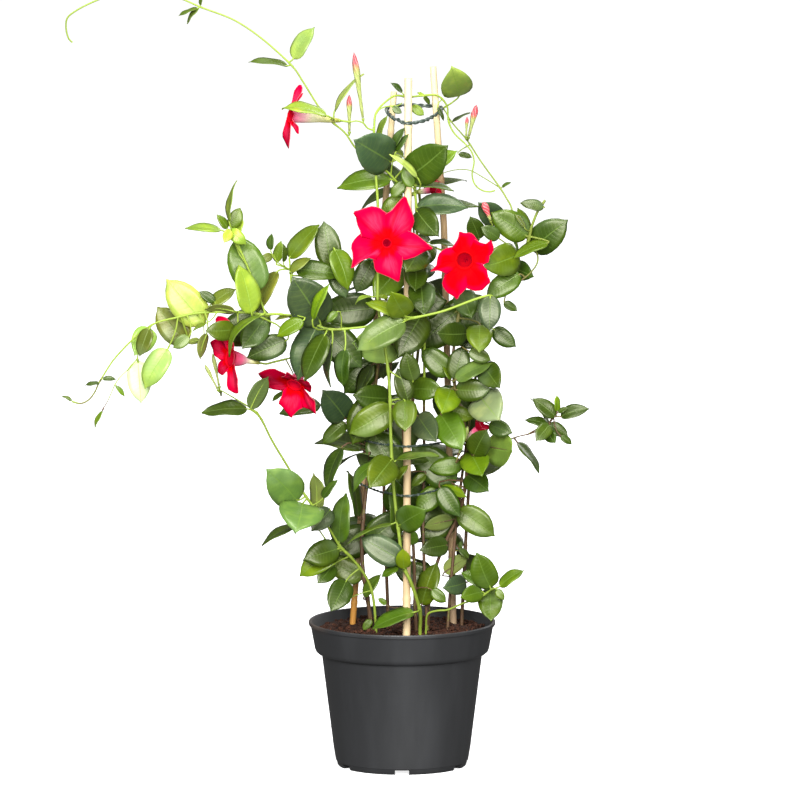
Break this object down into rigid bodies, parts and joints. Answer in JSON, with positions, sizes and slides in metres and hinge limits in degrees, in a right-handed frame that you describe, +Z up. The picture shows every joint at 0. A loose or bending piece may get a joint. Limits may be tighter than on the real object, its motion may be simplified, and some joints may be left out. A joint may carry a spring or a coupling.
{
  "type": "potted climbing plant",
  "caption": "Flowering climbing plant on tied bamboo canes, in a tapered plastic nursery pot filled with soil.",
  "frame": {"origin": "centre of the pot's underside, on the floor plane", "axes": "+Z up along the pot's axis, the plant's front faces -Y, +X to the right as seen from the front"},
  "size_m": [0.5229, 0.2634, 0.7889],
  "materials": {
    "pot": "matt",
    "soil": "damp crumbs",
    "cane": "natural bamboo",
    "wire": "dull green coating",
    "petals": "satin petals",
    "buds": "satin",
    "young_leaves": "glossy leaves",
    "leaves": "glossy leaves"
  },
  "bodies": {
    "root": {"pot": "pot", "soil": "soil", "cane_front": "cane", "cane_left": "cane", "cane_right": "cane", "ring_top": "wire", "hoop_upper": "wire", "hoop_lower": "wire", "bloom_1": "petals", "bloom_2": "petals", "bloom_3": "petals", "bloom_4": "petals", "bloom_5": "petals", "bloom_6": "petals", "bloom_7": "petals", "bud_1": "buds", "bud_2": "buds", "bud_3": "buds", "bud_4": "buds", "bud_5": "buds", "bud_6": "buds", "bud_7": "buds", "bud_8": "buds", "shoot_runner": "young_leaves", "shoot_left_high": "young_leaves", "shoot_upper_mid": "young_leaves", "shoot_arm": "young_leaves", "shoot_low_left": "young_leaves", "shoot_low_right": "young_leaves", "stem_left": "leaves", "stem_front": "leaves", "stem_right": "leaves", "stem_right_back": "leaves", "stem_back_left": "leaves", "stem_back_mid": "leaves"}
  },
  "joints": []
}
